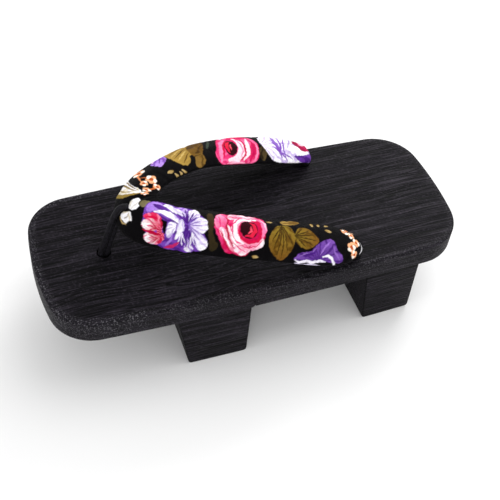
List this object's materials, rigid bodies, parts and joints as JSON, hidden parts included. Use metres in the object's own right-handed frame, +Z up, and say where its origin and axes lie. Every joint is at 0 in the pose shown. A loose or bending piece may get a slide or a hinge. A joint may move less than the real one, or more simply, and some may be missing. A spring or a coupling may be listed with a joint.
{
  "type": "geta sandal",
  "caption": "Wooden geta sandal: a rounded board on cross teeth with a padded floral cotton V strap and a toe cord.",
  "frame": {"origin": "bottom centre: on the floor, under the middle of the board", "axes": "toe towards -Y, heel towards +Y, width along X, +Z up; +X is on the wearer's left side"},
  "size_m": [0.0984, 0.235, 0.0879],
  "materials": {
    "stained_wood": "near-black stain over brushed lengthwise grain, satin",
    "printed_cotton": "black cotton with a floral print, padded, matt",
    "black_cord": "black twisted cotton cord, matt"
  },
  "bodies": {
    "root": {"platform": "stained_wood", "front_tooth": "stained_wood", "rear_tooth": "stained_wood", "strap": "printed_cotton", "toe_thong": "black_cord", "toe_knot": "black_cord", "rear_knot_right": "black_cord", "rear_knot_left": "black_cord"}
  },
  "joints": []
}
